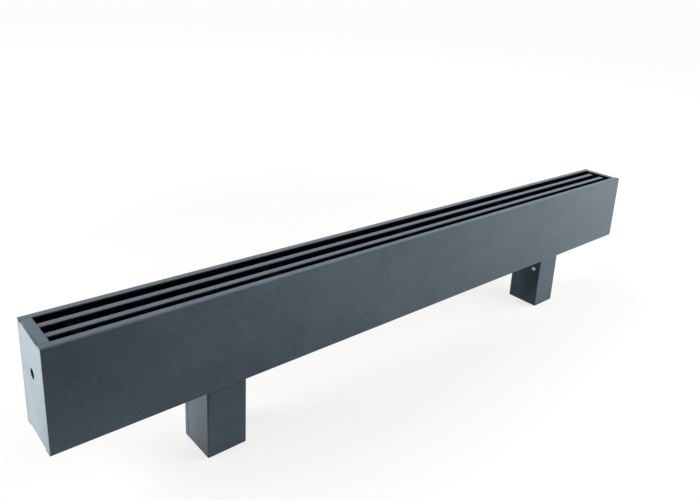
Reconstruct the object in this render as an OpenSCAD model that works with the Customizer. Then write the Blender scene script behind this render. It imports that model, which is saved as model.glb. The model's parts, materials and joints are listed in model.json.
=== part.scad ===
// Low free-standing floor convector: a long folded-steel casing on two box feet,
// a drop-in bar grille, and a finned copper heat exchanger with a bleed valve.
// Millimetres. +X runs along the casing, the front faces -Y, and +Z is up.
// The origin is on the floor, under the middle of the casing.

/* [Casing] */
// Length of the casing
casing_l = 1100; // [900:10:1600]
// Depth of the casing, front to back
casing_d = 80; // [78:1:110]
// Height of the casing, without its feet
casing_h = 125; // [118:1:160]
// Thickness of the casing's sheet steel
sheet_t = 1.5; // [1:0.1:1.8]
// Outside radius of the casing's bends
bend_r = 2.5; // [2.2:0.1:4]
// Outside radius of the rear panel's bends round the ends
rear_corner_r = 4; // [3.5:0.1:5]
// Width of the top flange along the front and the rear
top_flange_w = 10; // [8:0.5:12]
// Width of the top flange at each end
end_flange_w = 12; // [8:0.5:16]
// Width of the bottom flange along the front and the rear
bottom_flange_w = 14; // [12:0.5:16]
// Width of the rear panel's return round each end
rear_return_w = 9; // [7:0.5:14]
// Width of the open seam between two casing panels
seam_gap = 0.4; // [0.2:0.1:0.6]
// Depth of the fixing flanges folded in from the end panels
fixing_flange_w = 14; // [12:0.5:16]

/* [Bleed access] */
// Diameter of the key hole in the left end panel
key_hole_d = 12; // [8:0.5:16]
// Height of the key hole above the casing's bottom
key_hole_h = 79; // [74:1:84]
// Distance of the key hole behind the front face
key_hole_y = 37; // [34:0.5:40]

/* [Grille] */
// Width of each grille bar
bar_w = 8; // [6:0.5:10]
// Thickness of each grille bar
bar_t = 1.5; // [1:0.1:3]
// Width of the slot between a bar and the flange beside it
outer_slot_w = 14; // [12:0.5:16]
// Length of the open gap between the bars and the right end flange
bar_end_gap = 10; // [6:0.5:14]
// Running clearance of the grille above its ledges and under the flanges
grille_clearance = 0.2; // [0.1:0.1:0.4]
// Number of cross ties under the bars
tie_count = 5; // [3:1:8]
// Width of each cross tie
tie_w = 14; // [10:1:20]
// Thickness of each cross tie and ledge
tie_t = 1.5; // [1:0.1:2]
// Height of the studs between the ties and the bars
stud_h = 12; // [8:0.5:14]
// Diameter of the studs
stud_d = 5; // [4:0.5:6]

/* [Heat exchanger] */
// Outside diameter of the copper tube
tube_d = 15; // [12:0.5:16]
// Wall thickness of the copper tube
tube_wall = 0.8; // [0.6:0.1:1.2]
// Distance between the front and the rear tubes
tube_pitch_y = 26; // [24:0.5:28]
// Distance between the upper and the lower tubes
tube_pitch_z = 30; // [28:0.5:32]
// Fin size, front to back
fin_d = 52; // [48:1:56]
// Fin height
fin_h = 60; // [54:1:62]
// Fin thickness
fin_t = 0.5; // [0.4:0.1:0.8]
// Distance from one fin to the next
fin_pitch = 8; // [6:0.5:16]
// Wall thickness of the fin collars round the tubes
collar_wall = 0.7; // [0.5:0.1:1]
// Radial clearance of a tube in the fins, plates and sockets
tube_clearance = 0.1; // [0.05:0.01:0.15]
// Distance between the two pipe connections
connection_pitch = 50; // [45:1:60]
// Distance from the right end to the outer pipe connection
connection_inset = 30; // [30:1:40]
// Height of the pipe connections' mouths above the casing's bottom
connection_h = 18; // [12:1:24]
// Bore diameter of the half-inch pipe thread, at its crests
thread_bore_d = 18.6; // [18:0.1:19]
// Depth of the pipe thread
thread_depth = 14; // [10:1:15]

/* [Feet] */
// Width of each foot along the casing
foot_w = 54; // [50:1:70]
// Depth of each foot, front to back
foot_d = 62; // [60:1:68]
// Height of the feet below the casing
foot_h = 100; // [80:5:150]
// Distance from each end of the casing to the nearer side of its foot
foot_inset = 179; // [140:1:220]
// Depth of the rear cover's side lips
cover_lip_w = 9; // [7:0.5:11]
// Gap between the foot shell and its rear cover
cover_gap = 0.8; // [0.4:0.1:1.2]
// Shadow gap between the foot shell and the casing
foot_top_gap = 0.6; // [0.2:0.1:1]
// Distance between the two floor-bolt holes of a foot
floor_hole_pitch = 30; // [26:1:32]
// Diameter of the floor-bolt holes
floor_hole_d = 7; // [5:0.5:9]

/* [Hidden] */

$fn = 48;
steel_blue = [0.44, 0.51, 0.56];
black_coat = [0.08, 0.08, 0.09];
zinc = [0.78, 0.79, 0.80];
copper = [0.72, 0.43, 0.28];
fin_alu = [0.80, 0.81, 0.82];
brass_tone = [0.78, 0.64, 0.34];
pad_rubber = [0.12, 0.12, 0.12];
cut = 1; // how far a cutting tool runs past the face that it opens

// Casing planes
end_x = casing_l / 2;
front_y = -casing_d / 2;
rear_y = casing_d / 2;
bottom_z = foot_h;
top_z = foot_h + casing_h;
mid_z = bottom_z + casing_h / 2;
inner_front_y = front_y + sheet_t;
inner_rear_y = rear_y - sheet_t;
inner_bottom_z = bottom_z + sheet_t;
inner_top_z = top_z - sheet_t;
inner_end_x = end_x - sheet_t;
flange_front_y = front_y + top_flange_w;
flange_rear_y = rear_y - top_flange_w;
return_y = rear_y - rear_return_w;
fixing_inset_z = 2.5; // the fixing flanges stop short of the bottom and top sheets
fixing_z0 = inner_bottom_z + fixing_inset_z;
fixing_h = casing_h - 2 * (sheet_t + fixing_inset_z);

// Screws through the rear panel into the end panels
rear_screw_r = 1.9;
rear_screw_head_r = 3.4;
rear_screw_l = 9;
rear_screw_x = end_x - fixing_flange_w / 2 - sheet_t;
rear_screw_edge = 26; // distance of the screws from the casing's bottom and top
rear_screw_z = [bottom_z + rear_screw_edge, top_z - rear_screw_edge];
hole_clearance = 0.2;

// Feet
foot_x = end_x - foot_inset - foot_w / 2;
shell_t = 1.5;
shell_r = 2;
shell_bottom_z = 1;
shell_top_z = foot_h - foot_top_gap;
foot_front_y = -foot_d / 2;
foot_rear_y = foot_d / 2;
cover_y = foot_rear_y - cover_lip_w;
pad_t = 1.5;
pad_margin = 4;
base_t = 4;
inner_fit = 0.3; // clearance of the inner foot pieces inside the shell
inner_foot_w = foot_w - 2 * (shell_t + inner_fit);
inner_foot_d = foot_d - 2 * (shell_t + inner_fit);
post_t = 2.5;
post_front_y = foot_front_y + 7;
post_side_d = 38;
post_top_d = 48;
post_bottom_z = pad_t + base_t;
tongue_l = 13;
tongue_h = 20;
tongue_edge = 12; // distance of the cover's tongues from its bottom and top
tongue_gap = 0.1;
tongue_x = foot_w / 2 - shell_t - tongue_gap; // outer face of a tongue

// Cross members, on the bottom flanges
member_t = 2.5;
member_top_z = inner_bottom_z + member_t;
member_overhang = 13; // how far a cross member runs past its foot on each side
member_w = foot_w + 2 * member_overhang;
brace_w = 40;
member_upstand = 10;
member_fit = bend_r - sheet_t + hole_clearance; // keeps the ends clear of the panels' bends
member_d = casing_d - 2 * (sheet_t + member_fit);
upstand_inset = 4;
rivet_r = 2;
rivet_head_r = 3.6;
rivet_head_h = 1.2;
rivet_tail_r = 2.8;
rivet_tail_h = 2;
rivet_edge = 7; // distance of a rivet from the cross member's side
rivet_y = casing_d / 2 - sheet_t - (bottom_flange_w - sheet_t) / 2;

// Bolts between the cross members and the feet
bolt_r = 4;
bolt_head_r = 7.5;
bolt_head_h = 5.3;
nut_h = 6.5;
bolt_tail = 2; // thread that stands out below the nut
bolt_x = foot_w / 4;
bolt_hole_r = bolt_r + hole_clearance;

// Screws on the inner side of each foot
side_screw_r = 2.4;
side_screw_head_r = 3.9;
side_screw_head_h = 2.4;
side_screw_l = 9;
side_screw_inset = 13; // from the foot's front to the first screw
side_screw_pitch = 26;
side_screw_drop = 25; // from the casing's bottom to the screws
side_screw_y = [for (i = [0, 1]) foot_front_y + side_screw_inset + i * side_screw_pitch];
side_screw_z = foot_h - side_screw_drop;

// Grille
bar_top_z = inner_top_z - grille_clearance;
bar_bottom_z = bar_top_z - bar_t;
bar_left_x = -end_x + bend_r;
bar_right_x = end_x - end_flange_w - bar_end_gap;
bar_y = casing_d / 2 - top_flange_w - outer_slot_w - bar_w / 2;
tie_top_z = bar_bottom_z - stud_h;
tie_bottom_z = tie_top_z - tie_t;
grille_travel = end_x - bend_r - bar_right_x;
tie_end_margin = 48;
tie_first_x = bar_left_x + tie_end_margin;
tie_last_x = bar_right_x - tie_end_margin;
tie_step = (tie_last_x - tie_first_x) / (tie_count - 1);
ledge_d = 8.5;
ledge_lap = 3; // how far a tie reaches over its ledge
ledge_h = 12;
ledge_margin = 2;
ledge_top_z = tie_bottom_z - grille_clearance;
tie_half_d = inner_rear_y - ledge_d + ledge_lap;

// Heat exchanger
coil_y = front_y + key_hole_y;
upper_z = bottom_z + key_hole_h;
lower_z = upper_z - tube_pitch_z;
coil_z = (upper_z + lower_z) / 2;
front_tube_y = coil_y - tube_pitch_y / 2;
rear_tube_y = coil_y + tube_pitch_y / 2;
tube_r = tube_d / 2;
tube_bore_r = tube_r - tube_wall;
socket_r = tube_r + tube_clearance + 1;
socket_l = 8;
socket_shoulder = 1.5; // wall that a tube's end meets at the bottom of its socket
coil_left_inset = 66; // room at the left end for the return bends and the bleed valve
tube_left_x = -end_x + coil_left_inset;
outer_connection_x = end_x - connection_inset;
inner_connection_x = outer_connection_x - connection_pitch;
elbow_reach = 22; // from the elbow's vertical axis to its socket's mouth
elbow_socket_l = 10;
bend_clear_x = 26; // from the inner connection to the front tubes' ends
front_tube_right_x = inner_connection_x - bend_clear_x;
plate_t = 1;
plate_gap = 2;
plate_lip = 6;
plate_margin = 2;
left_plate_x = tube_left_x + socket_l + plate_gap;
right_plate_x = front_tube_right_x - socket_l - plate_gap - plate_t;
fin_gap = 4; // between an end plate's lip and the nearest fin
fin_x0 = left_plate_x + plate_t + fin_gap;
fin_run = right_plate_x - fin_gap - fin_x0;
fin_count = floor((fin_run - fin_t) / fin_pitch) + 1;
fin_start_x = fin_x0 + (fin_run - fin_t - (fin_count - 1) * fin_pitch) / 2;
fin_bottom_z = coil_z - fin_h / 2;

// Elbows
elbow_r = tube_r + 2.5;
elbow_hex_r = 15;
elbow_hex_h = thread_depth + 2;
mouth_z = bottom_z + connection_h;

// Bleed valve, in the vented return bend's boss
boss_r = 8;
boss_l = 10;
bend_apex_x = tube_left_x - tube_pitch_y / 2 - tube_r;
boss_x = bend_apex_x - boss_l;
valve_spigot_r = 4.7;
valve_spigot_l = 8;
valve_hex_r = 8;
valve_hex_h = 5;
valve_neck_r = 6;
valve_neck_l = 7;
valve_tip_x = boss_x - valve_hex_h - valve_neck_l;
screw_r = 2.5;
screw_clearance = 0.06;
screw_depth = 10;
screw_square = 5;
screw_square_l = 4;
screw_stand_off = 1; // from the valve's tip to the screw's square end
bleed_way_r = 1;
spout_r = 2;
spout_l = 9;

// Brackets that carry the fins on the cross members
bracket_l = 40;
bracket_t = 1.5;
bracket_foot_w = 8;
bracket_screw_r = 2;
bracket_screw_head_r = 3.5;
bracket_screw_head_h = 2.2;
bracket_screw_l = bracket_t + member_t; // the screws end flush under the cross member

// ---------- Profiles ----------

// A rectangle with four round corners, centred on the origin
module round_rect(w, h, r) {
    square([w - 2 * r, h], center = true);
    square([w, h - 2 * r], center = true);
    for (x = [-1, 1], y = [-1, 1])
        translate([x * (w / 2 - r), y * (h / 2 - r)]) circle(r = r);
}

// The casing's outline seen from the end, drawn as Y and Z, taken in by inset
module end_outline(inset) {
    translate([0, mid_z]) round_rect(casing_d - 2 * inset, casing_h - 2 * inset, bend_r - inset);
}

// The casing's outline seen from above: square front corners and round rear ones
module plan_outline(inset) {
    w = casing_l - 2 * inset;
    d = casing_d - 2 * inset;
    r = rear_corner_r - inset;
    translate([-w / 2, -d / 2]) square([w, d - r]);
    translate([-w / 2 + r, -d / 2]) square([w - 2 * r, d]);
    for (x = [-1, 1]) translate([x * (w / 2 - r), d / 2 - r]) circle(r = r);
}

// Extrudes a Y-Z outline along X
module along_x(length) {
    translate([-length / 2, 0, 0]) rotate([90, 0, 90]) linear_extrude(length) children();
}

// Extrudes an X-Z outline along Y
module along_y(length) {
    translate([0, length / 2, 0]) rotate([90, 0, 0]) linear_extrude(length) children();
}

// A cylinder along X from x0 to x1
module rod_x(x0, x1, r, y, z) {
    translate([x0, y, z]) rotate([0, 90, 0]) cylinder(r = r, h = x1 - x0);
}

// A box from its lowest to its highest corner
module box(low, high) {
    translate(low) cube(high - low);
}

// ---------- Casing ----------

// The solid that the rear panel is folded round
module panel_block(inset) {
    intersection() {
        along_x(casing_l - 2 * inset) end_outline(inset);
        translate([0, 0, bottom_z]) linear_extrude(casing_h) plan_outline(inset);
    }
}

// The solid that the end panels are folded round
module end_block(inset) {
    intersection() {
        along_x(casing_l - 2 * inset) translate([0, mid_z])
            square([casing_d - 2 * inset, casing_h - 2 * inset], center = true);
        along_y(casing_d) translate([0, mid_z])
            round_rect(casing_l - 2 * inset, casing_h - 2 * inset, bend_r - inset);
    }
}

// Holes for the rivets of the cross members, in one bottom flange
module rivet_holes(y) {
    for (p = rivet_points()) if (sign(p[1]) == sign(y))
        translate([p[0], p[1], bottom_z - cut])
            cylinder(r = rivet_r + hole_clearance, h = sheet_t + member_t + 2 * cut);
}

// Where the rivets sit: four at each cross member and four at the centre brace
function rivet_points() = [
    for (m = [[-foot_x, member_w], [foot_x, member_w], [0, brace_w]], x = [-1, 1], y = [-1, 1])
        [m[0] + x * (m[1] / 2 - rivet_edge), y * rivet_y]];

module front_panel() {
    color(steel_blue) difference() {
        along_x(casing_l) intersection() {
            difference() {
                end_outline(0);
                end_outline(sheet_t);
            }
            union() {
                translate([front_y, mid_z]) square([top_flange_w, casing_h]);
                translate([front_y, mid_z - casing_h]) square([bottom_flange_w, casing_h]);
            }
        }
        rivet_holes(-1);
    }
}

module rear_panel() {
    color(steel_blue) difference() {
        intersection() {
            difference() {
                panel_block(0);
                panel_block(sheet_t);
            }
            union() {
                box([-end_x, flange_rear_y, mid_z], [end_x, rear_y, top_z]);
                box([-end_x, rear_y - bottom_flange_w, bottom_z], [end_x, rear_y, mid_z]);
            }
        }
        for (side = [-1, 1]) translate([side * end_x, 0, inner_bottom_z])
            translate([-sheet_t, -casing_d, 0])
                cube([2 * sheet_t, casing_d + return_y, casing_h - 2 * sheet_t]);
        for (side = [-1, 1], z = rear_screw_z) rear_screw_cut(side * rear_screw_x, z);
        rivet_holes(1);
    }
}

// Countersunk hole in the rear panel
module rear_screw_cut(x, z) {
    translate([x, rear_y, z]) rotate([90, 0, 0]) {
        cylinder(r1 = rear_screw_head_r + hole_clearance, r2 = rear_screw_r + hole_clearance, h = sheet_t);
        translate([0, 0, -cut])
            cylinder(r = rear_screw_r + hole_clearance, h = sheet_t + 2 * cut);
    }
}

// Face, top and bottom flange, and the fixing flanges behind the front and rear panels; drawn at the left
module end_panel() {
    tab_x = -inner_end_x + seam_gap;
    face_rear_y = return_y - seam_gap;
    difference() {
        union() {
            intersection() {
                difference() {
                    end_block(0);
                    end_block(sheet_t);
                }
                union() {
                    box([-end_x, inner_front_y + seam_gap, inner_bottom_z + seam_gap],
                        [-inner_end_x, face_rear_y, inner_top_z - seam_gap]);
                    box([-end_x, flange_front_y + seam_gap, mid_z],
                        [-end_x + end_flange_w, flange_rear_y - seam_gap, top_z]);
                    box([-end_x, -casing_d / 2 + bottom_flange_w + seam_gap, bottom_z],
                        [-end_x + end_flange_w, casing_d / 2 - bottom_flange_w - seam_gap, mid_z]);
                }
            }
            // Front fixing flange, spot-welded to the front panel
            box([-end_x + seam_gap, inner_front_y, fixing_z0],
                [-end_x + fixing_flange_w, inner_front_y + sheet_t, fixing_z0 + fixing_h]);
            // Joggle behind the rear panel's return, and the rear fixing flange
            box([-end_x, face_rear_y - sheet_t, fixing_z0],
                [tab_x + sheet_t, face_rear_y, fixing_z0 + fixing_h]);
            intersection() {
                union() {
                    box([tab_x, face_rear_y - sheet_t, fixing_z0],
                        [tab_x + sheet_t, inner_rear_y - seam_gap, fixing_z0 + fixing_h]);
                    box([tab_x, inner_rear_y - seam_gap - sheet_t, fixing_z0],
                        [-end_x + fixing_flange_w, inner_rear_y - seam_gap, fixing_z0 + fixing_h]);
                }
                translate([0, 0, fixing_z0]) linear_extrude(fixing_h) plan_outline(sheet_t + seam_gap);
            }
        }
        for (z = rear_screw_z) translate([-rear_screw_x, rear_y, z]) rotate([90, 0, 0])
            cylinder(r = rear_screw_r + hole_clearance, h = rear_screw_l + cut);
    }
}

module left_end_panel() {
    color(steel_blue) difference() {
        end_panel();
        rod_x(-end_x - cut, -inner_end_x + cut, key_hole_d / 2, coil_y, upper_z);
    }
}

module right_end_panel() {
    color(steel_blue) mirror([1, 0, 0]) end_panel();
}

// A cross member: a plate on the bottom flanges with two upstands
module cross_member(x, width, with_bolts) {
    difference() {
        union() {
            box([x - width / 2, -member_d / 2, inner_bottom_z], [x + width / 2, member_d / 2, member_top_z]);
            for (side = [-1, 1]) translate([x + side * (width - member_t) / 2, 0, 0])
                box([-member_t / 2, -member_d / 2 + upstand_inset, inner_bottom_z],
                    [member_t / 2, member_d / 2 - upstand_inset, member_top_z + member_upstand]);
        }
        rivet_holes(-1);
        rivet_holes(1);
        if (with_bolts) bolt_holes(x);
        if (with_bolts) bracket_screw_holes(x);
    }
}

module bolt_holes(x) {
    for (side = [-1, 1]) translate([x + side * bolt_x, 0, inner_bottom_z - post_t - cut])
        cylinder(r = bolt_hole_r, h = post_t + member_t + 2 * cut);
}

module left_cross_member() {
    color(zinc) cross_member(-foot_x, member_w, true);
}

module right_cross_member() {
    color(zinc) cross_member(foot_x, member_w, true);
}

module centre_brace() {
    color(zinc) cross_member(0, brace_w, false);
}

module bottom_rivets() {
    color(zinc) for (p = rivet_points()) translate([p[0], p[1], bottom_z]) {
        translate([0, 0, -rivet_head_h]) cylinder(r = rivet_head_r, h = rivet_head_h);
        cylinder(r = rivet_r, h = sheet_t + member_t);
        translate([0, 0, sheet_t + member_t]) cylinder(r = rivet_tail_r, h = rivet_tail_h);
    }
}

module rear_screws() {
    color(steel_blue) for (side = [-1, 1], z = rear_screw_z)
        translate([side * rear_screw_x, rear_y, z]) rotate([90, 0, 0]) {
            cylinder(r1 = rear_screw_head_r, r2 = rear_screw_r, h = sheet_t);
            cylinder(r = rear_screw_r, h = rear_screw_l);
        }
}

// ---------- Grille ----------

// One ledge for each tie, folded from strip and welded to the rear panel's inner face
module ledges() {
    length = tie_w + grille_travel + 2 * ledge_margin;
    for (i = [0 : tie_count - 1]) {
        x0 = tie_first_x + i * tie_step - tie_w / 2 - ledge_margin;
        box([x0, inner_rear_y - ledge_d, ledge_top_z - tie_t], [x0 + length, inner_rear_y, ledge_top_z]);
        box([x0, inner_rear_y - tie_t, ledge_top_z - tie_t],
            [x0 + length, inner_rear_y, ledge_top_z - tie_t + ledge_h]);
    }
}

module front_ledges() {
    color(black_coat) mirror([0, 1, 0]) ledges();
}

module rear_ledges() {
    color(black_coat) ledges();
}

module grille_bar(y) {
    box([bar_left_x, y - bar_w / 2, bar_bottom_z], [bar_right_x, y + bar_w / 2, bar_top_z]);
}

module front_grille_bar() {
    color(steel_blue) grille_bar(-bar_y);
}

module rear_grille_bar() {
    color(steel_blue) grille_bar(bar_y);
}

module grille_ties() {
    color(black_coat) for (i = [0 : tie_count - 1]) translate([tie_first_x + i * tie_step, 0, 0])
        box([-tie_w / 2, -tie_half_d, tie_bottom_z], [tie_w / 2, tie_half_d, tie_top_z]);
}

module grille_studs() {
    color(black_coat) for (i = [0 : tie_count - 1], side = [-1, 1])
        translate([tie_first_x + i * tie_step, side * bar_y, tie_top_z]) cylinder(d = stud_d, h = stud_h);
}

// ---------- Heat exchanger ----------

module tube(x0, x1, y, z) {
    color(copper) difference() {
        rod_x(x0, x1, tube_r, y, z);
        rod_x(x0 - cut, x1 + cut, tube_bore_r, y, z);
    }
}

module upper_front_tube() {
    tube(tube_left_x, front_tube_right_x, front_tube_y, upper_z);
}

module lower_front_tube() {
    tube(tube_left_x, front_tube_right_x, front_tube_y, lower_z);
}

module upper_rear_tube() {
    tube(tube_left_x, outer_connection_x - elbow_reach + elbow_socket_l, rear_tube_y, upper_z);
}

module lower_rear_tube() {
    tube(tube_left_x, inner_connection_x - elbow_reach + elbow_socket_l, rear_tube_y, lower_z);
}

// The four places where tubes pass, in Y and Z
module at_tubes() {
    for (y = [front_tube_y, rear_tube_y], z = [lower_z, upper_z]) translate([y, z]) children();
}

// Fins with drawn collars: each collar reaches the next fin, so the pack is one piece
module fin_pack() {
    length = (fin_count - 1) * fin_pitch + fin_t;
    middle_x = fin_start_x + length / 2;
    color(fin_alu) difference() {
        union() {
            for (i = [0 : fin_count - 1])
                translate([fin_start_x + i * fin_pitch, coil_y - fin_d / 2, fin_bottom_z])
                    cube([fin_t, fin_d, fin_h]);
            translate([middle_x, 0, 0]) along_x(length)
                at_tubes() circle(r = tube_r + tube_clearance + collar_wall);
        }
        translate([middle_x, 0, 0]) along_x(length + 2 * cut)
            at_tubes() circle(r = tube_r + tube_clearance);
    }
}

// Galvanised plates at the two ends of the fins, each with two lips folded towards the fins
module coil_end_plates() {
    color(zinc) {
        end_plate(left_plate_x, left_plate_x);
        end_plate(right_plate_x, right_plate_x + plate_t - plate_lip);
    }
}

module end_plate(plate_x, lip_x) {
    plate_d = fin_d + 2 * plate_margin;
    difference() {
        union() {
            box([plate_x, coil_y - plate_d / 2, fin_bottom_z],
                [plate_x + plate_t, coil_y + plate_d / 2, fin_bottom_z + fin_h]);
            for (y = [coil_y - plate_d / 2, coil_y + plate_d / 2 - plate_t])
                box([lip_x, y, fin_bottom_z], [lip_x + plate_lip, y + plate_t, fin_bottom_z + fin_h]);
        }
        translate([plate_x, 0, 0]) along_x(4 * plate_t) at_tubes() circle(r = tube_r + tube_clearance);
    }
}

// Half of a round tube ring, bent towards -X, from -Y to +Y
module half_ring(pitch, r) {
    rotate([0, 0, 90]) rotate_extrude(angle = 180) translate([pitch / 2, 0]) circle(r = r);
}

// A return bend from one tube to the next, at X = 0, with a socket over each tube's end
module return_bend(pitch) {
    difference() {
        union() {
            half_ring(pitch, tube_r);
            for (side = [-1, 1]) rod_x(-socket_shoulder, socket_l, socket_r, side * pitch / 2, 0);
        }
        half_ring(pitch, tube_bore_r);
        for (side = [-1, 1])
            rod_x(0, socket_l + cut, tube_r + tube_clearance, side * pitch / 2, 0);
    }
}

// The upper left bend, with a boss for the bleed valve
module vented_return_bend() {
    color(copper) translate([tube_left_x, coil_y, upper_z]) difference() {
        union() {
            return_bend(tube_pitch_y);
            difference() {
                rod_x(boss_x - tube_left_x, -tube_pitch_y / 2, boss_r, 0, 0);
                half_ring(tube_pitch_y, tube_bore_r);
            }
        }
        rod_x(boss_x - tube_left_x - cut, -tube_pitch_y / 2, valve_spigot_r + tube_clearance, 0, 0);
    }
}

module lower_return_bend() {
    color(copper) translate([tube_left_x, coil_y, lower_z]) return_bend(tube_pitch_y);
}

// The bend that joins the two front tubes at the right
module right_return_bend() {
    color(copper) translate([front_tube_right_x, front_tube_y, coil_z])
        rotate([90, 0, 180]) return_bend(tube_pitch_z);
}

// A brass elbow from a tube down to a threaded mouth with a hexagon round it
module elbow(x, z) {
    color(brass_tone) translate([x, rear_tube_y, 0]) difference() {
        union() {
            rod_x(-elbow_reach, 0, elbow_r, 0, z);
            translate([0, 0, z]) sphere(r = elbow_r);
            translate([0, 0, mouth_z]) cylinder(r = elbow_r, h = z - mouth_z);
            translate([0, 0, mouth_z]) cylinder(r = elbow_hex_r, h = elbow_hex_h, $fn = 6);
        }
        rod_x(-elbow_reach - cut, -elbow_reach + elbow_socket_l, tube_r + tube_clearance, 0, z);
        rod_x(-elbow_reach, 0, tube_bore_r, 0, z);
        translate([0, 0, z]) sphere(r = tube_bore_r);
        translate([0, 0, mouth_z]) cylinder(r = tube_bore_r, h = z - mouth_z);
        translate([0, 0, mouth_z - cut]) cylinder(d = thread_bore_d, h = thread_depth + cut);
    }
}

module supply_elbow() {
    elbow(inner_connection_x, lower_z);
}

module return_elbow() {
    elbow(outer_connection_x, upper_z);
}

module bleed_valve_body() {
    color(brass_tone) difference() {
        union() {
            rod_x(boss_x, boss_x + valve_spigot_l, valve_spigot_r, coil_y, upper_z);
            translate([boss_x - valve_hex_h, coil_y, upper_z]) rotate([0, 90, 0])
                cylinder(r = valve_hex_r, h = valve_hex_h, $fn = 6);
            rod_x(valve_tip_x, boss_x, valve_neck_r, coil_y, upper_z);
            translate([valve_tip_x + valve_neck_l / 2, coil_y, upper_z - spout_l])
                cylinder(r = spout_r, h = spout_l);
        }
        rod_x(valve_tip_x - cut, valve_tip_x + screw_depth + screw_clearance,
            screw_r + screw_clearance, coil_y, upper_z);
        rod_x(valve_tip_x, boss_x + valve_spigot_l + cut, bleed_way_r, coil_y, upper_z);
        translate([valve_tip_x + valve_neck_l / 2, coil_y, upper_z - spout_l - cut])
            cylinder(r = bleed_way_r, h = spout_l + cut);
    }
}

// The screw that a square radiator key turns through the hole in the left end panel
module bleed_screw() {
    square_x = valve_tip_x - screw_stand_off - screw_square_l;
    color(brass_tone) {
        rod_x(square_x + screw_square_l / 2, valve_tip_x + screw_depth, screw_r, coil_y, upper_z);
        translate([square_x + screw_square_l / 2, coil_y, upper_z])
            cube([screw_square_l, screw_square, screw_square], center = true);
    }
}

// ---------- Heat exchanger brackets ----------

// Where the bracket's two feet lie, front and rear
function bracket_foot_y() = [for (side = [-1, 1]) coil_y + side * (fin_d + bracket_foot_w) / 2];

module bracket_screw_holes(x) {
    for (y = bracket_foot_y()) translate([x, y, inner_bottom_z - cut])
        cylinder(r = bracket_screw_r + hole_clearance, h = member_t + bracket_t + 2 * cut);
}

module coil_brackets() {
    color(zinc) for (x = [-foot_x, foot_x]) difference() {
        translate([x, 0, 0]) along_x(bracket_l) difference() {
            union() {
                translate([coil_y - fin_d / 2, member_top_z]) square([fin_d, fin_bottom_z - member_top_z]);
                translate([coil_y - fin_d / 2 - bracket_foot_w, member_top_z])
                    square([fin_d + 2 * bracket_foot_w, bracket_t]);
            }
            translate([coil_y - fin_d / 2 + bracket_t, member_top_z - cut])
                square([fin_d - 2 * bracket_t, fin_bottom_z - member_top_z - bracket_t + cut]);
        }
        bracket_screw_holes(x);
    }
}

module bracket_screws() {
    color(zinc) for (x = [-foot_x, foot_x], y = bracket_foot_y())
        translate([x, y, member_top_z + bracket_t]) {
            cylinder(r = bracket_screw_head_r, h = bracket_screw_head_h);
            translate([0, 0, -bracket_screw_l]) cylinder(r = bracket_screw_r, h = bracket_screw_l);
        }
}

// ---------- Feet, drawn round X = 0 ----------

// The foot's outline seen from above
module foot_outline(inset) {
    round_rect(foot_w - 2 * inset, foot_d - 2 * inset, shell_r - inset);
}

module foot_ring() {
    translate([0, 0, shell_bottom_z]) linear_extrude(shell_top_z - shell_bottom_z) difference() {
        foot_outline(0);
        foot_outline(shell_t);
        children();
    }
}

// Front and sides of a foot; inner_side is +1 where its inner side faces +X
module foot_shell(inner_side) {
    color(steel_blue) difference() {
        foot_ring() translate([-foot_w, cover_y]) square([2 * foot_w, foot_d]);
        side_screw_holes(inner_side);
    }
}

// Rear of a foot, with lips that meet the shell's sides and tongues that clip inside them
module foot_cover() {
    lip_y = cover_y + cover_gap;
    color(steel_blue) {
        foot_ring() translate([-foot_w, lip_y - foot_d]) square([2 * foot_w, foot_d]);
        for (side = [0, 1], z = [shell_bottom_z + tongue_edge, shell_top_z - tongue_edge - tongue_h])
            mirror([side, 0, 0]) {
                box([tongue_x - shell_t, foot_rear_y - shell_t - tongue_l, z],
                    [tongue_x, foot_rear_y - shell_t / 2, z + tongue_h]);
                box([tongue_x - shell_t / 2, lip_y, z],
                    [tongue_x + tongue_gap + shell_t / 2, foot_rear_y - shell_t / 2, z + tongue_h]);
            }
    }
}

module side_screw_holes(inner_side) {
    for (y = side_screw_y) translate([inner_side * foot_w / 2, y, side_screw_z])
        rotate([0, -inner_side * 90, 0]) translate([0, 0, -cut])
            cylinder(r = side_screw_r + hole_clearance, h = side_screw_l + cut);
}

// Bent steel post inside the foot: a front web, two sides and a top plate
module foot_post(inner_side) {
    color(zinc) difference() {
        union() {
            box([-inner_foot_w / 2, post_front_y, post_bottom_z],
                [inner_foot_w / 2, post_front_y + post_t, inner_bottom_z]);
            for (side = [-1, 1]) translate([side * (inner_foot_w - post_t) / 2, post_front_y, post_bottom_z])
                translate([-post_t / 2, 0, 0]) cube([post_t, post_side_d, inner_bottom_z - post_bottom_z]);
            box([-inner_foot_w / 2, post_front_y, inner_bottom_z - post_t],
                [inner_foot_w / 2, post_front_y + post_top_d, inner_bottom_z]);
        }
        side_screw_holes(inner_side);
        bolt_holes(0);
    }
}

module floor_holes() {
    for (side = [-1, 1]) translate([0, side * floor_hole_pitch / 2, -cut])
        cylinder(d = floor_hole_d, h = pad_t + base_t + 2 * cut);
}

module base_plate() {
    color(zinc) difference() {
        box([-inner_foot_w / 2, -inner_foot_d / 2, pad_t],
            [inner_foot_w / 2, inner_foot_d / 2, pad_t + base_t]);
        floor_holes();
    }
}

module floor_pad() {
    w = inner_foot_w - pad_margin;
    d = inner_foot_d - pad_margin;
    color(pad_rubber) difference() {
        box([-w / 2, -d / 2, 0], [w / 2, d / 2, pad_t]);
        floor_holes();
    }
}

module left_foot_shell() {
    translate([-foot_x, 0, 0]) foot_shell(1);
}

module right_foot_shell() {
    translate([foot_x, 0, 0]) foot_shell(-1);
}

module left_foot_cover() {
    translate([-foot_x, 0, 0]) foot_cover();
}

module right_foot_cover() {
    translate([foot_x, 0, 0]) foot_cover();
}

module left_foot_post() {
    translate([-foot_x, 0, 0]) foot_post(1);
}

module right_foot_post() {
    translate([foot_x, 0, 0]) foot_post(-1);
}

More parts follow.
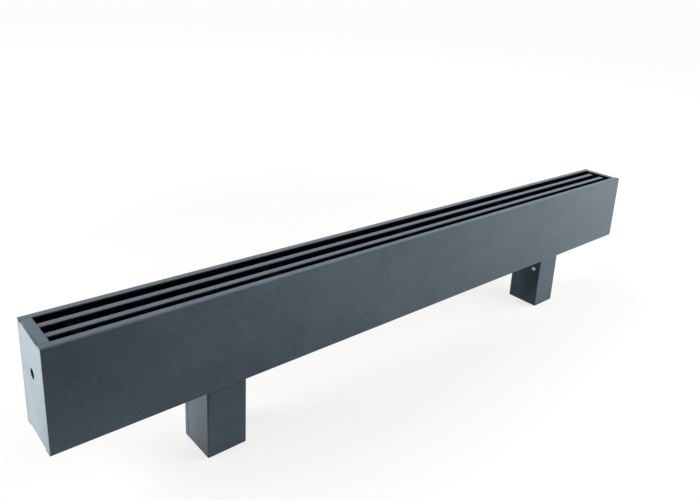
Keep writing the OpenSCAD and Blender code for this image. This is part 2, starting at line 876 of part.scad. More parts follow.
module left_base_plate() {
    translate([-foot_x, 0, 0]) base_plate();
}

module right_base_plate() {
    translate([foot_x, 0, 0]) base_plate();
}

module left_floor_pad() {
    translate([-foot_x, 0, 0]) floor_pad();
}

module right_floor_pad() {
    translate([foot_x, 0, 0]) floor_pad();
}

// Hexagon bolts that hold each post under its cross member
module foot_bolts() {
    below = post_t + nut_h + bolt_tail;
    color(zinc) for (x = [-foot_x, foot_x], side = [-1, 1])
        translate([x + side * bolt_x, 0, member_top_z]) {
            cylinder(r = bolt_head_r, h = bolt_head_h, $fn = 6);
            translate([0, 0, -member_t - below]) cylinder(r = bolt_r, h = member_t + below);
        }
}

module foot_nuts() {
    color(zinc) for (x = [-foot_x, foot_x], side = [-1, 1])
        translate([x + side * bolt_x, 0, inner_bottom_z - post_t - nut_h]) difference() {
            cylinder(r = bolt_head_r, h = nut_h, $fn = 6);
            translate([0, 0, -cut]) cylinder(r = bolt_r + tube_clearance, h = nut_h + 2 * cut);
        }
}

// Bright screws that hold each shell to its post, on the foot's inner side
module foot_side_screws() {
    color(zinc) for (side = [-1, 1], y = side_screw_y)
        translate([side * (foot_x - foot_w / 2), y, side_screw_z]) rotate([0, side * 90, 0]) {
            cylinder(r = side_screw_r, h = side_screw_l);
            mirror([0, 0, 1]) pan_head();
        }
}

// A pan head with a round rim, standing on Z = 0
module pan_head() {
    rim = side_screw_head_h / 2;
    rotate_extrude() {
        square([side_screw_head_r, rim]);
        square([side_screw_head_r - rim, side_screw_head_h]);
        intersection() {
            translate([side_screw_head_r - rim, rim]) circle(r = rim);
            square([side_screw_head_r, side_screw_head_h]);
        }
    }
}

front_panel();
rear_panel();
left_end_panel();
right_end_panel();
left_cross_member();
right_cross_member();
centre_brace();
bottom_rivets();
rear_screws();
front_ledges();
rear_ledges();
front_grille_bar();
rear_grille_bar();
grille_ties();
grille_studs();
upper_front_tube();
upper_rear_tube();
lower_front_tube();
lower_rear_tube();
fin_pack();
coil_end_plates();
vented_return_bend();
lower_return_bend();
right_return_bend();
supply_elbow();
return_elbow();
bleed_valve_body();
bleed_screw();
coil_brackets();
bracket_screws();
left_foot_shell();
right_foot_shell();
left_foot_cover();
right_foot_cover();
left_foot_post();
right_foot_post();
left_base_plate();
right_base_plate();
left_floor_pad();
right_floor_pad();
foot_bolts();
foot_nuts();
foot_side_screws();
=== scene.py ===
"""Low floor convector: camera, light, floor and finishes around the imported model."""
import json
import math

import bmesh
import bpy
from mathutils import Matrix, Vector


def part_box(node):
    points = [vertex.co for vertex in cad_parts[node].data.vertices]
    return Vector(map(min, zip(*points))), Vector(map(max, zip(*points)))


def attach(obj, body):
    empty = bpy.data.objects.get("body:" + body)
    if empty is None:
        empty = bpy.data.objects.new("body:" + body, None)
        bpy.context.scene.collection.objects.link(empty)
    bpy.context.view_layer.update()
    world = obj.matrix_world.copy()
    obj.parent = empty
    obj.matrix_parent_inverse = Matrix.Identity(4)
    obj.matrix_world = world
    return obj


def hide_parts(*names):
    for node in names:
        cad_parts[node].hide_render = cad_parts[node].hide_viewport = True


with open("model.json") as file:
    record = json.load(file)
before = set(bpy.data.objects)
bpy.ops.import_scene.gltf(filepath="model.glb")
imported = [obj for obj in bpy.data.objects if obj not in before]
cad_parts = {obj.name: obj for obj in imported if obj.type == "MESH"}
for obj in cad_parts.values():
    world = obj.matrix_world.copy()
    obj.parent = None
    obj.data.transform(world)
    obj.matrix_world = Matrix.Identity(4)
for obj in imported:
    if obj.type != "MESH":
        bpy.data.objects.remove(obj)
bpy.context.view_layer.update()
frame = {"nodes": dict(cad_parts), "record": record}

MM = 0.001

# The photograph: 700 x 500 pixels, taken from the front left and above.
IMAGE_W, IMAGE_H = 700, 500
SENSOR = 36.0
FOCAL_PX = 668.8
PRINCIPAL = (394.2, 179.8)
CAMERA_PLACE = (-703.6 * MM, -673.0 * MM, 593.2 * MM)
CAMERA_TURN = (72.956, -3.876, -42.834)

# The studio is white paper. What the camera sees of it, and the dim light that it throws on things:
PAPER = (0.982, 0.974, 0.956)
SEEN_SHADE = 0.28  # how strongly the lamps, and so the object's shadow, show on the floor
SEEN_GLOW = (0.73, 0.97)  # what the floor shines by itself, near the object and far from it
FADE = (0.8, 2.2)  # the distances between which it goes from the one to the other
AMBIENT, AMBIENT_TINT = 0.1, (0.93, 0.96, 1.0)
FLOOR_BOUNCE = 0.18
FLOOR_HALF = 14.0

# What the object mirrors of it is painted reflection: cool-tinted, and with painted light and shade
# that make it brighter or darker by place
MIRRORED_PAPER = (0.9, 1.02, 1.08)
MIRRORED_WALLS = 1.12
MIRRORED_FRONT = (0.05, 1.18)  # painted shade and light in the mirrored floor in front of the object, at the left and at the right
MIRRORED_FRONT_X = (-0.65, 0.1)  # where it starts and ends to change between them
MIRRORED_BEHIND = (1.9, 1.1)  # painted light in the mirrored floor behind the object, brighter than white, at the left and at the right
MIRRORED_BEHIND_X = (-0.55, -0.2)
MIRRORED_DEPTH_Y = (-0.3, 0.2)  # where the front's brightness goes over into that behind
MIRRORED_UNDER = 0.25  # painted shade under the casing: what is left there of the mirrored floor's brightness
MIRRORED_UNDER_X = (-0.3, 0.0)
MIRRORED_UNDER_Y = ((-0.06, 0.02), (0.08, 0.16))  # the shade's soft front edge and its soft rear edge
MIRRORED_GLOW = 0.25  # the part of it that shines by itself; the lamps give the rest, with the shadow

LAMPS = {
    "left_softbox": dict(place=(-2.2, 0.5, 1.25), size=(1.3, 1.4), watts=62),
    "right_softbox": dict(place=(1.7, -1.15, 1.1), size=(2.2, 1.6), watts=68),
    "back_softbox": dict(place=(0.3, 2.0, 2.4), size=(2.0, 1.2), watts=17),
}

# Casing sizes, read from the frame
PANEL_LOW, PANEL_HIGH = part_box("front_panel")
SHEET = 1.5 * MM
END_X = PANEL_HIGH.x
REAR_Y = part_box("rear_panel")[1].y
MIDDLE_Z = (PANEL_LOW.z + PANEL_HIGH.z) / 2
HALF_Z = (PANEL_HIGH.z - PANEL_LOW.z) / 2

# The outside radius of the coil's tubes, and of the sockets that they end in, in millimetres
TUBE_R, SOCKET_R = 7.5, 8.6

# The half-inch pipe thread in the elbows; its ridge stands in from the bore, which is left as it is
THREAD_BORE, THREAD_DEEP, THREAD_PITCH = 18.6 * MM, 14 * MM, 1.814 * MM
THREAD_HIGH = 0.3 * MM


def on_tube(tube, x):
    """The point of a tube's axis at x."""
    low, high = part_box(tube)
    return Vector((x, (low.y + high.y) / 2, (low.z + high.z) / 2))


# The coil's brazed joints: each socket's mouth, and the way that its tube leaves it along X
BRAZED = [
    (on_tube(tube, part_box(socket)[1 if way > 0 else 0].x), way)
    for socket, way, tubes in (
        ("vented_return_bend", 1, ("upper_front_tube", "upper_rear_tube")),
        ("lower_return_bend", 1, ("lower_front_tube", "lower_rear_tube")),
        ("right_return_bend", -1, ("upper_front_tube", "lower_front_tube")),
        ("supply_elbow", -1, ("lower_rear_tube",)),
        ("return_elbow", -1, ("upper_rear_tube",)),
    )
    for tube in tubes
]


# ---------- Camera and light ----------

def make_camera():
    data = bpy.data.cameras.new("camera")
    camera = bpy.data.objects.new("camera", data)
    bpy.context.scene.collection.objects.link(camera)
    camera.location = CAMERA_PLACE
    camera.rotation_euler = [math.radians(a) for a in CAMERA_TURN]
    data.sensor_width = SENSOR
    data.lens = FOCAL_PX / IMAGE_W * SENSOR
    data.shift_x = (IMAGE_W / 2 - PRINCIPAL[0]) / IMAGE_W
    data.shift_y = (PRINCIPAL[1] - IMAGE_H / 2) / IMAGE_W
    data.clip_start = 0.02
    data.clip_end = 60
    bpy.context.scene.camera = camera


def area_lamp(name, place, size, watts):
    """A soft lamp that faces the middle of the object, and is neither seen nor mirrored itself."""
    data = bpy.data.lights.new(name, "AREA")
    data.shape = "RECTANGLE"
    data.size, data.size_y = size
    data.energy = watts
    lamp = bpy.data.objects.new(name, data)
    bpy.context.scene.collection.objects.link(lamp)
    lamp.location = place
    lamp.rotation_euler = (Vector((0, 0, MIDDLE_Z)) - Vector(place)).to_track_quat("-Z", "Y").to_euler()
    lamp.visible_camera = lamp.visible_glossy = False


def put(links, socket, value):
    """Sets a socket to a plain value, or links another node's output to it."""
    if isinstance(value, bpy.types.NodeSocket):
        links.new(value, socket)
    else:
        socket.default_value = value


def ray_is(nodes, links, *kinds):
    """1 for rays of the named kinds, and 0 for the others."""
    path = nodes.new("ShaderNodeLightPath")
    result = path.outputs[f"Is {kinds[0]} Ray"]
    for kind in kinds[1:]:
        either = nodes.new("ShaderNodeMath")
        either.operation = "MAXIMUM"
        links.new(result, either.inputs[0])
        links.new(path.outputs[f"Is {kind} Ray"], either.inputs[1])
        result = either.outputs[0]
    return result


def mixed(nodes, links, factor, first, second):
    """The first shader where the factor is 0, and the second where it is 1."""
    mix = nodes.new("ShaderNodeMixShader")
    links.new(factor, mix.inputs[0])
    links.new(first, mix.inputs[1])
    links.new(second, mix.inputs[2])
    return mix.outputs[0]


def ramp(nodes, links, value, start, end, low, high, held=True):
    """From low at start to high at end, held there or not; low and high may be other nodes' outputs."""
    node = nodes.new("ShaderNodeMapRange")
    node.clamp = held
    node.inputs["From Min"].default_value = start
    node.inputs["From Max"].default_value = end
    put(links, node.inputs["To Min"], low)
    put(links, node.inputs["To Max"], high)
    links.new(value, node.inputs["Value"])
    return node.outputs["Result"]


def make_world():
    world = bpy.data.worlds.new("studio")
    bpy.context.scene.world = world
    world.use_nodes = True
    nodes, links = world.node_tree.nodes, world.node_tree.links
    nodes.clear()
    out = nodes.new("ShaderNodeOutputWorld")
    light = nodes.new("ShaderNodeBackground")
    light.inputs["Color"].default_value = (*AMBIENT_TINT, 1)
    light.inputs["Strength"].default_value = AMBIENT
    around = light.outputs[0]
    # Reflections see a painted backdrop, cool and a little brighter than white; the camera sees the
    # plain paper
    for tint, strength, kinds in ((MIRRORED_PAPER, MIRRORED_WALLS, ("Glossy", "Transmission")),
                                  (PAPER, 1, ("Camera",))):
        paper = nodes.new("ShaderNodeBackground")
        paper.inputs["Color"].default_value = (*tint, 1)
        paper.inputs["Strength"].default_value = strength
        around = mixed(nodes, links, ray_is(nodes, links, *kinds), around, paper.outputs[0])
    links.new(around, out.inputs["Surface"])


def lit_paper(nodes, links, tint, shade, glow=None):
    """Paper that takes a share of its white from the lamps, and shines by itself if it has a glow."""
    colour = nodes.new("ShaderNodeVectorMath")
    colour.operation = "SCALE"
    colour.inputs[0].default_value = tint
    put(links, colour.inputs["Scale"], shade)
    matt = nodes.new("ShaderNodeBsdfDiffuse")
    links.new(colour.outputs[0], matt.inputs["Color"])
    if glow is None:
        return matt.outputs[0]
    shine = nodes.new("ShaderNodeEmission")
    shine.inputs["Color"].default_value = (*tint, 1)
    links.new(glow, shine.inputs["Strength"])
    both = nodes.new("ShaderNodeAddShader")
    links.new(matt.outputs[0], both.inputs[0])
    links.new(shine.outputs[0], both.inputs[1])
    return both.outputs[0]


def make_floor():
    """Pale paper: what it throws on things, what the camera sees of it, and what the object mirrors,
    which has painted light and shade.
    """
    mesh = bpy.data.meshes.new("floor")
    mesh.from_pydata([(-FLOOR_HALF, -FLOOR_HALF, 0), (FLOOR_HALF, -FLOOR_HALF, 0),
                      (FLOOR_HALF, FLOOR_HALF, 0), (-FLOOR_HALF, FLOOR_HALF, 0)],
                     [], [(0, 1, 2, 3)])
    floor = bpy.data.objects.new("floor", mesh)
    bpy.context.scene.collection.objects.link(floor)
    material = bpy.data.materials.new("floor")
    material.use_nodes = True
    nodes, links = material.node_tree.nodes, material.node_tree.links
    nodes.clear()
    out = nodes.new("ShaderNodeOutputMaterial")
    place = nodes.new("ShaderNodeTexCoord").outputs["Object"]
    length = nodes.new("ShaderNodeVectorMath")
    length.operation = "LENGTH"
    links.new(place, length.inputs[0])
    axes = nodes.new("ShaderNodeSeparateXYZ")
    links.new(place, axes.inputs[0])
    bounce = lit_paper(nodes, links, (1, 1, 1), FLOOR_BOUNCE)
    seen = lit_paper(nodes, links, PAPER, SEEN_SHADE,
                     ramp(nodes, links, length.outputs["Value"], *FADE, *SEEN_GLOW))
    across, deep = axes.outputs["X"], axes.outputs["Y"]
    # Painted light and shade in the mirrored floor: dark in front at the left, brighter than white
    # behind, and a painted shade under the casing
    in_front = ramp(nodes, links, across, *MIRRORED_FRONT_X, *MIRRORED_FRONT)
    behind = ramp(nodes, links, across, *MIRRORED_BEHIND_X, *MIRRORED_BEHIND)
    around = ramp(nodes, links, deep, *MIRRORED_DEPTH_Y, in_front, behind)
    under = ramp(nodes, links, across, *MIRRORED_UNDER_X, 1, MIRRORED_UNDER)
    front_edge, rear_edge = MIRRORED_UNDER_Y
    shade = ramp(nodes, links, deep, *rear_edge, ramp(nodes, links, deep, *front_edge, 1, under), 1)
    # A ramp from 0 to a factor that isn't held multiplies by that factor
    around = ramp(nodes, links, around, 0, 1, 0, shade, False)
    mirrored = lit_paper(nodes, links, MIRRORED_PAPER,
                         ramp(nodes, links, around, 0, 1, 0, 1 - MIRRORED_GLOW, False),
                         ramp(nodes, links, around, 0, 1, 0, MIRRORED_GLOW, False))
    either = mixed(nodes, links, ray_is(nodes, links, "Camera"), mirrored, seen)
    any_seen = ray_is(nodes, links, "Camera", "Glossy", "Transmission")
    links.new(mixed(nodes, links, any_seen, bounce, either), out.inputs["Surface"])
    mesh.materials.append(material)


# ---------- Materials ----------

class Shader:
    """
    A material with its Principled shader and a few ways to feed it. Places are in metres, so a noise of
    scale 100 has clouds of about a centimetre, and one of scale 1000 grains of about a millimetre.
    """

    def __init__(self, name):
        self.material = bpy.data.materials.new(name)
        self.material.use_nodes = True
        self.nodes = self.material.node_tree.nodes
        self.links = self.material.node_tree.links
        self.bsdf = self.nodes["Principled BSDF"]
        self.place = self.nodes.new("ShaderNodeTexCoord").outputs["Object"]

    def set(self, **values):
        """Plain values on the Principled shader's own sockets, whose names have _ for a space here."""
        for key, value in values.items():
            self.bsdf.inputs[key.replace("_", " ")].default_value = value
        return self

    def stretched(self, scale):
        node = self.nodes.new("ShaderNodeMapping")
        node.inputs["Scale"].default_value = scale
        self.links.new(self.place, node.inputs["Vector"])
        return node.outputs[0]

    def noise(self, scale, detail=3.0, rough=0.5, vector=None):
        node = self.nodes.new("ShaderNodeTexNoise")
        node.inputs["Scale"].default_value = scale
        node.inputs["Detail"].default_value = detail
        node.inputs["Roughness"].default_value = rough
        self.links.new(vector or self.place, node.inputs["Vector"])
        return node.outputs["Fac"]

    def cells(self, scale):
        node = self.nodes.new("ShaderNodeTexVoronoi")
        node.inputs["Scale"].default_value = scale
        self.links.new(self.place, node.inputs["Vector"])
        return node.outputs["Color"]

    def span(self, value, low, high, start=0.0, end=1.0):
        return ramp(self.nodes, self.links, value, start, end, low, high)

    def blend(self, factor, first, second):
        node = self.nodes.new("ShaderNodeMix")
        node.data_type = "RGBA"
        for socket, colour in ((node.inputs[6], first), (node.inputs[7], second)):
            put(self.links, socket, (*colour, 1) if isinstance(colour, tuple) else colour)
        self.links.new(factor, node.inputs[0])
        return node.outputs[2]

    def math(self, operation, first, second):
        node = self.nodes.new("ShaderNodeMath")
        node.operation = operation
        put(self.links, node.inputs[0], first)
        put(self.links, node.inputs[1], second)
        return node.outputs[0]

    def axes(self):
        node = self.nodes.new("ShaderNodeSeparateXYZ")
        self.links.new(self.place, node.inputs[0])
        return node.outputs

    def feed(self, key, value):
        self.links.new(value, self.bsdf.inputs[key])

    def bumps(self, *layers):
        """Layers of (height, distance in metres), the coarsest first."""
        normal = None
        for height, distance in layers:
            node = self.nodes.new("ShaderNodeBump")
            node.inputs["Distance"].default_value = distance
            self.links.new(height, node.inputs["Height"])
            if normal:
                self.links.new(normal, node.inputs["Normal"])
            normal = node.outputs[0]
        self.links.new(normal, self.bsdf.inputs["Normal"])


PAINT = (0.057, 0.078, 0.096)
PAINT_DEEP = (0.036, 0.052, 0.066)
PAINT_THIN_AND_HIGHLIGHT = (0.065, 0.086, 0.104)  # where the sheet's edges draw the coat thin; its lighter colour is partly that and partly a painted highlight along the edges
EDGE_ROUGHER = 0.05


def powder_coat(name, light, deep, rougher=0.0):
    """Satin powder coat with clouds and specks in its colour, on sheet that isn't quite flat."""
    s = Shader(name).set(IOR=1.5, Specular_IOR_Level=0.5)
    wide = s.noise(5.0, 2.0, 0.5)
    cloud = s.noise(22.0, 4.0, 0.6)
    speck = s.noise(150.0, 4.0, 0.8)
    grain = s.noise(700.0, 2.0, 0.6)
    mottle = s.math("ADD", s.math("ADD", cloud, wide), s.span(speck, -0.65, 0.65))
    s.feed("Base Color", s.blend(s.span(mottle, 0, 1, 0.75, 1.25), deep, light))
    gloss = s.span(cloud, 0.28 + rougher, 0.35 + rougher, 0.3, 0.7)
    s.feed("Roughness", s.math("ADD", gloss, s.span(grain, -0.015, 0.015)))
    s.bumps((wide, 0.002), (cloud, 0.0002), (s.noise(900.0, 2.0, 0.5), 0.00003))
    return s.material


def shade_black_coat(name, low, high):
    """Matt near-black coat, darker than real paint, as painted shade: on the grille's ties and on all
    that lies inside the casing.
    """
    s = Shader(name).set(IOR=1.45, Specular_IOR_Level=0.02)
    s.feed("Base Color", s.blend(s.noise(40.0), (low, low, low * 1.4), (high, high, high * 1.6)))
    s.feed("Roughness", s.span(s.noise(90.0), 0.72, 0.9))
    s.bumps((s.noise(1200.0, 2.0), 0.00002))
    return s.material


def galvanised():
    """Zinc with its flakes, a few millimetres wide."""
    s = Shader("galvanised_steel").set(Metallic=1.0)
    flake = s.cells(160.0)
    s.feed("Base Color", s.blend(flake, (0.52, 0.54, 0.56), (0.66, 0.68, 0.70)))
    s.feed("Roughness", s.span(flake, 0.32, 0.5))
    s.bumps((s.noise(300.0), 0.00002))
    return s.material


def copper():
    """Drawn tube: streaks along it, stains, and a dark heat tint beside each brazed joint."""
    s = Shader("copper").set(Metallic=1.0)
    streak = s.noise(60.0, 3.0, 0.6, s.stretched((0.3, 6.0, 6.0)))
    stain = s.noise(14.0, 4.0, 0.6)
    bright = s.blend(streak, (0.78, 0.40, 0.26), (0.86, 0.50, 0.34))
    used = s.blend(s.span(stain, 0, 1, 0.5, 0.75), bright, (0.42, 0.20, 0.13))
    near = None
    for x in sorted({round(mouth.x, 4) for mouth, _ in BRAZED}):
        away = s.math("ABSOLUTE", s.math("SUBTRACT", s.axes()["X"], x), 0)
        near = s.math("MINIMUM", near, away) if near else away
    ragged = s.math("ADD", near, s.span(s.noise(120.0), -3 * MM, 3 * MM))
    s.feed("Base Color", s.blend(s.span(ragged, 0.75, 0, 3 * MM, 16 * MM), used, (0.20, 0.075, 0.06)))
    s.feed("Roughness", s.math("ADD", s.span(streak, 0.26, 0.42), s.span(ragged, 0.1, 0, 0, 12 * MM)))
    s.bumps((streak, 0.00002))
    return s.material


def braze():
    """Brazing alloy, run in and left as it froze."""
    s = Shader("brazing_alloy").set(Metallic=1.0)
    s.feed("Base Color", s.blend(s.noise(260.0), (0.50, 0.44, 0.32), (0.72, 0.66, 0.52)))
    s.feed("Roughness", s.span(s.noise(400.0), 0.3, 0.5))
    s.bumps((s.noise(700.0, 2.0), 0.0002))
    return s.material


def fin_aluminium():
    """Thin rolled strip, with faint marks along it."""
    s = Shader("fin_aluminium").set(Metallic=1.0)
    rolled = s.noise(300.0, 2.0, 0.5, s.stretched((1.0, 0.2, 3.0)))
    s.feed("Base Color", s.blend(rolled, (0.70, 0.71, 0.72), (0.80, 0.81, 0.82)))
    s.feed("Roughness", s.span(rolled, 0.28, 0.44))
    s.bumps((rolled, 0.00001))
    return s.material


def brass():
    """Turned brass with fine tool marks."""
    s = Shader("brass").set(Metallic=1.0)
    tooled = s.noise(500.0, 2.0, 0.5, s.stretched((1.0, 1.0, 4.0)))
    s.feed("Base Color", s.blend(tooled, (0.70, 0.52, 0.22), (0.80, 0.62, 0.30)))
    s.feed("Roughness", s.span(tooled, 0.27, 0.4))
    s.bumps((tooled, 0.00001))
    return s.material


def rubber():
    """Dull black pad rubber with a fine grain."""
    s = Shader("pad_rubber")
    s.feed("Base Color", s.blend(s.noise(80.0), (0.014, 0.014, 0.014), (0.03, 0.03, 0.03)))
    s.feed("Roughness", s.span(s.noise(200.0), 0.75, 0.92))
    s.bumps((s.noise(900.0), 0.00003))
    return s.material


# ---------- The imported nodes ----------

FINISHES = {
    "casing_paint": powder_coat("casing_paint", PAINT, PAINT_DEEP),
    # The ties' near-black coat is painted shade, so that they sink into the dark of the slots
    "black_coat": shade_black_coat("black_coat", 0.002, 0.005),
    "galvanised_steel": galvanised(),
    "copper": copper(),
    "fin_aluminium": fin_aluminium(),
    "brass": brass(),
    "pad_rubber": rubber(),
}
PANELS = ("front_panel", "rear_panel", "left_end_panel", "right_end_panel")
UNBEVELLED = ("fin_pack",)
SHEET_EDGE = 0.25 * MM
SKIN = 0.9 * SHEET
EDGE_COAT, INSIDE_SHADE = 1, 2  # their places among a node's materials, after its own: the thin edge coat with its painted highlight, and the painted shade inside
WELD = 0.005 * MM  # corners of triangles that are nearer than this are one
# Degrees between two faces that still make one plane, and that make an edge of a node or of a new piece
SAME_PLANE, NODE_EDGE, PIECE_EDGE = 0.5, 35, 32


def soften(node, edge_material=-1):
    """Small bevels on the edges of a node's welded triangles; they may take a material of their own."""
    weld = node.modifiers.new("weld", "WELD")
    weld.merge_threshold = WELD
    flat = node.modifiers.new("flat", "DECIMATE")
    flat.decimate_type = "DISSOLVE"
    flat.angle_limit = math.radians(SAME_PLANE)
    flat.delimit = {"MATERIAL"}
    bevel = node.modifiers.new("bevel", "BEVEL")
    bevel.width = SHEET_EDGE
    bevel.segments = 2
    bevel.limit_method = "ANGLE"
    bevel.angle_limit = math.radians(NODE_EDGE)
    bevel.harden_normals = True
    bevel.material = edge_material


def shade_inside(node):
    """Gives a casing panel's inner faces near-black painted shade; the cut edges of its sheet keep the
    casing paint.
    """
    for face in node.data.polygons:
        x, y, z = face.center
        hidden = abs(x) < END_X - SKIN and abs(y) < REAR_Y - SKIN and abs(z - MIDDLE_Z) < HALF_Z - SKIN
        face.material_index = INSIDE_SHADE if hidden else 0


def finish_nodes():
    """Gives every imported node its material, and all but the fins their small bevels."""
    slots = {s["node"]: s["material_slot"] for s in frame["record"]["subparts"]}
    # The edges' coat is lighter partly because it is thin there and partly as a painted highlight
    thin_coat_and_highlight = powder_coat("casing_paint_edge", PAINT_THIN_AND_HIGHLIGHT, PAINT, EDGE_ROUGHER)
    # Near-black painted shade on the panels' inner faces
    inside_shade = shade_black_coat("casing_inside_shade", 0.0015, 0.003)
    for name, node in frame["nodes"].items():
        painted = slots[name] == "casing_paint"
        node.data.materials.clear()
        node.data.materials.append(FINISHES[slots[name]])
        if painted:
            node.data.materials.append(thin_coat_and_highlight)
        if name in PANELS:
            node.data.materials.append(inside_shade)
            shade_inside(node)
        if name not in UNBEVELLED:
            soften(node, EDGE_COAT if painted else -1)


# ---------- Fasteners and joints ----------

def round_rim(angle):
    return 1.0


def hex_rim(angle):
    """A hexagon's edge, for a distance of 1 from its middle to its corners."""
    return math.cos(math.pi / 6) / math.cos(angle % (math.pi / 3) - math.pi / 6)


def cross_rim(angle):
    """A cross recess's edge, for a distance of 1 from its middle to its arms' ends."""
    half_arm = 0.28
    turn = abs((angle + math.pi / 4) % (math.pi / 2) - math.pi / 4)
    return min(1 / math.cos(turn), half_arm / max(math.sin(turn), 0.01))


def turned(bm, profile, place, axis, segments=48):
    """
    Revolves a profile about an axis through a place. Its points are (radius, height) in millimetres,
    with the shape of the rim as a third item where it isn't round. A radius of 0 closes an end.
    """
    turn = Vector(axis).to_track_quat("Z", "Y").to_matrix()
    rings = []
    for radius, height, *shape in profile:
        rim = shape[0] if shape else round_rim
        ring = []
        for i in range(segments if radius else 1):
            a = 2 * math.pi * i / segments
            reach = rim(a) * radius
            point = Vector((reach * math.cos(a), reach * math.sin(a), height))
            ring.append(bm.verts.new(place + turn @ point * MM))
        rings.append(ring)
    for low, high in zip(rings, rings[1:]):
        for i in range(segments):
            j = (i + 1) % segments
            # Beside a closed end two of the corners are the same one, and the face is a triangle
            corners = (low[i % len(low)], low[j % len(low)], high[j % len(high)], high[i % len(high)])
            bm.faces.new(dict.fromkeys(corners))


def threaded(radius, start, end, pitch):
    """A screw's thread as rings, from start up to end."""
    points = []
    root = radius * 0.82
    for i in range(int((end - start) / pitch)):
        z = start + i * pitch
        points += [(root, z + pitch * 0.1), (radius, z + pitch * 0.5), (root, z + pitch * 0.9)]
    return points


def dome(radius, low, top_radius, high, steps=6):
    """A quarter-round from a head's side to its flat top."""
    points = []
    wide, tall = radius - top_radius, high - low
    for i in range(steps + 1):
        a = math.pi / 2 * i / steps
        points.append((top_radius + wide * math.cos(a), low + tall * math.sin(a)))
    return points


def piece(name, bm, slot, *replaced, material=None):
    """Makes a piece of the casing from a bmesh, smooth but for its sharp edges."""
    bmesh.ops.recalc_face_normals(bm, faces=bm.faces)
    for face in bm.faces:
        face.smooth = True
    for edge in bm.edges:
        inner = len(edge.link_faces) == 2
        edge.smooth = not (inner and edge.calc_face_angle() > math.radians(PIECE_EDGE))
    mesh = bpy.data.meshes.new(name)
    bm.to_mesh(mesh)
    bm.free()
    mesh.materials.append(material or FINISHES[slot])
    made = bpy.data.objects.new(name, mesh)
    bpy.context.scene.collection.objects.link(made)
    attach(made, "casing")
    if replaced:
        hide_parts(*replaced)


def boxes_of(name):
    """The box of each separate solid of a CAD node, as its lowest and highest corners."""
    bm = bmesh.new()
    bm.from_mesh(frame["nodes"][name].data)
    bmesh.ops.remove_doubles(bm, verts=bm.verts, dist=WELD)
    left = set(bm.verts)
    boxes = []
    while left:
        queue = [left.pop()]
        found = []
        while queue:
            vert = queue.pop()
            found.append(vert.co.copy())
            for edge in vert.link_edges:
                other = edge.other_vert(vert)
                if other in left:
                    left.remove(other)
                    queue.append(other)
        boxes.append([[pick(c[i] for c in found) for i in range(3)] for pick in (min, max)])
    bm.free()
    return [(Vector(low), Vector(high)) for low, high in sorted(boxes)]


def make_side_screws():
    """Button heads with a hexagon socket, on the feet's inner sides."""
    bm = bmesh.new()
    head, high, shank = 3.9, 2.4, 2.4
    profile = [(0, -8.9)] + threaded(shank, -8.6, -0.6, 0.8)
    profile += [(shank, 0), (head * 0.97, 0), (head, 0.3)] + dome(head, 0.5, 2.2, high)
    profile += [(2.0, high), (1.75, high - 0.12, hex_rim), (1.7, 0.9, hex_rim), (0, 0.7)]
    for low, top in boxes_of("foot_side_screws"):
        middle = (low + top) / 2
        # The head points to the middle of the heater, where the foot's inner side faces
        way = -1 if middle.x > 0 else 1
        tip_x = low.x if way < 0 else top.x
        turned(bm, profile, Vector((tip_x - way * high * MM, middle.y, middle.z)), (way, 0, 0))
    piece("side_screws", bm, "galvanised_steel", "foot_side_screws")


def make_rear_screws():
    """Countersunk heads with a cross recess, flush with the rear panel and painted with it."""
    bm = bmesh.new()
    head, shank, length, cone = 3.4, 1.9, 9, 1.5
    profile = [(0, -length), (shank * 0.4, -length + 0.6)]
    profile += threaded(shank, -length + 1.2, -cone - 0.2, 0.9)
    profile += [(shank, -cone), (head, -0.15), (head * 0.97, 0), (2.3, 0)]
    profile += [(2.1, -0.08, cross_rim), (1.5, -1.1, cross_rim), (0, -1.5)]
    for low, top in boxes_of("rear_screws"):
        middle = (low + top) / 2
        turned(bm, profile, Vector((middle.x, REAR_Y, middle.z)), (0, 1, 0), 72)
    piece("rear_panel_screws", bm, "casing_paint", "rear_screws")


def make_rivets():
    """Blind rivets up through the bottom flanges, a broken mandrel in the head and a bulged tail."""
    bm = bmesh.new()
    head, tail, stem = 3.6, 2.8, 2.0
    for low, top in boxes_of("bottom_rivets"):
        middle = (low + top) / 2
        end = -(top.z - low.z) / MM
        profile = [(0, end), (tail * 0.6, end), (tail * 0.92, end + 0.4), (tail, end + 1.1)]
        profile += [(tail * 0.9, end + 1.8), (stem, end + 2.0), (stem, -1.2), (head * 0.96, -1.2)]
        profile += dome(head, -1.0, 1.5, 0)
        profile += [(1.3, -0.05), (1.15, -0.7), (0.8, -0.55), (0.5, -0.2), (0, -0.25)]
        turned(bm, profile, Vector((middle.x, middle.y, low.z)), (0, 0, -1))
    piece("rivets", bm, "galvanised_steel", "bottom_rivets")


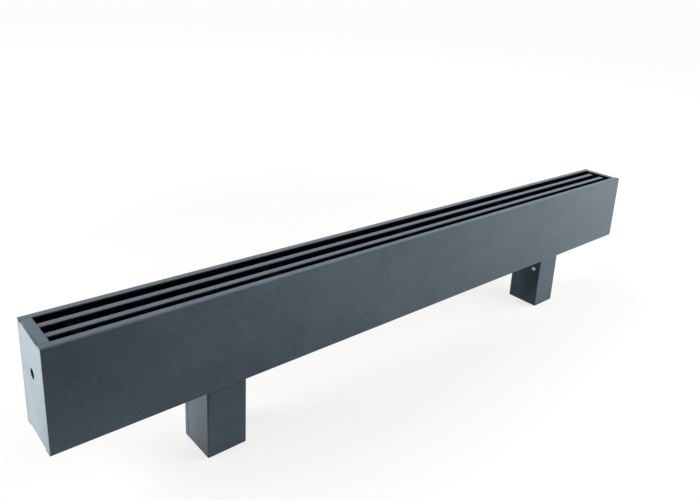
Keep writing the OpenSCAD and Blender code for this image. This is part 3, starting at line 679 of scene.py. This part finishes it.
def make_bracket_screws():
    """Pan heads with a cross recess, on the coil brackets' feet."""
    bm = bmesh.new()
    high = 2.2
    for low, top in boxes_of("bracket_screws"):
        middle = (low + top) / 2
        end = high - (top.z - low.z) / MM
        head = (top.x - low.x) / 2 / MM
        shank = head * 0.5
        profile = [(0, end), (shank * 0.5, end + 0.4)] + threaded(shank, end + 0.6, -0.3, 0.8)
        profile += [(shank, 0), (head, 0), (head, 0.5)] + dome(head, 0.6, head * 0.5, high)
        profile += [(head * 0.48, high - 0.05, cross_rim), (head * 0.38, 0.6, cross_rim), (0, 0.4)]
        turned(bm, profile, Vector((middle.x, middle.y, top.z - high * MM)), (0, 0, 1), 72)
    piece("coil_bracket_screws", bm, "galvanised_steel", "bracket_screws")


def make_brazing():
    """A fillet of alloy round each tube, at the mouth of its socket."""
    bm = bmesh.new()
    profile = [(TUBE_R, -0.05), (SOCKET_R - 0.1, -0.05), (SOCKET_R - 0.15, 0.08)]
    profile += [(TUBE_R + 0.45, 0.3), (TUBE_R + 0.15, 0.75), (TUBE_R, 1.5)]
    for mouth, way in BRAZED:
        turned(bm, profile + profile[:1], mouth, (way, 0, 0))
    piece("brazed_joints", bm, "brass", material=braze())


def make_elbow_threads():
    """The helical ridge of the pipe thread in each elbow's mouth, tapered out at both ends."""
    bm = bmesh.new()
    steps = 48
    turns = int(THREAD_DEEP / THREAD_PITCH) - 1
    half_wide = 0.47 * THREAD_PITCH
    wall = THREAD_BORE / 2 + 0.03 * MM
    for name in ("supply_elbow", "return_elbow"):
        low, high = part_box(name)
        # The mouth's axis lies half a hexagon's width across its corners in from the elbow's right end
        axis = Vector((high.x - (high.y - low.y) / math.cos(math.pi / 6) / 2, (low.y + high.y) / 2, 0))
        rows = []
        for i in range(turns * steps + 1):
            angle = 2 * math.pi * i / steps
            z = low.z + THREAD_PITCH * (0.6 + i / steps)
            crest = THREAD_BORE / 2 - THREAD_HIGH * min(1, 4 * i / steps, 4 * (turns - i / steps))
            section = ((wall, -half_wide), (min(crest, wall - 0.02 * MM), 0), (wall, half_wide))
            rows.append([bm.verts.new(axis + Vector((r * math.cos(angle), r * math.sin(angle), z + dz)))
                         for r, dz in section])
        for first, second in zip(rows, rows[1:]):
            for i in range(3):
                bm.faces.new((first[i], first[i - 2], second[i - 2], second[i]))
        for row in (rows[0], rows[-1]):
            bm.faces.new(row)
    piece("elbow_threads", bm, "brass")


bpy.context.scene.view_settings.view_transform = "Standard"
make_camera()
make_world()
make_floor()
for lamp_name, lamp_values in LAMPS.items():
    area_lamp(lamp_name, **lamp_values)
finish_nodes()
make_side_screws()
make_rear_screws()
make_rivets()
make_bracket_screws()
make_brazing()
make_elbow_threads()
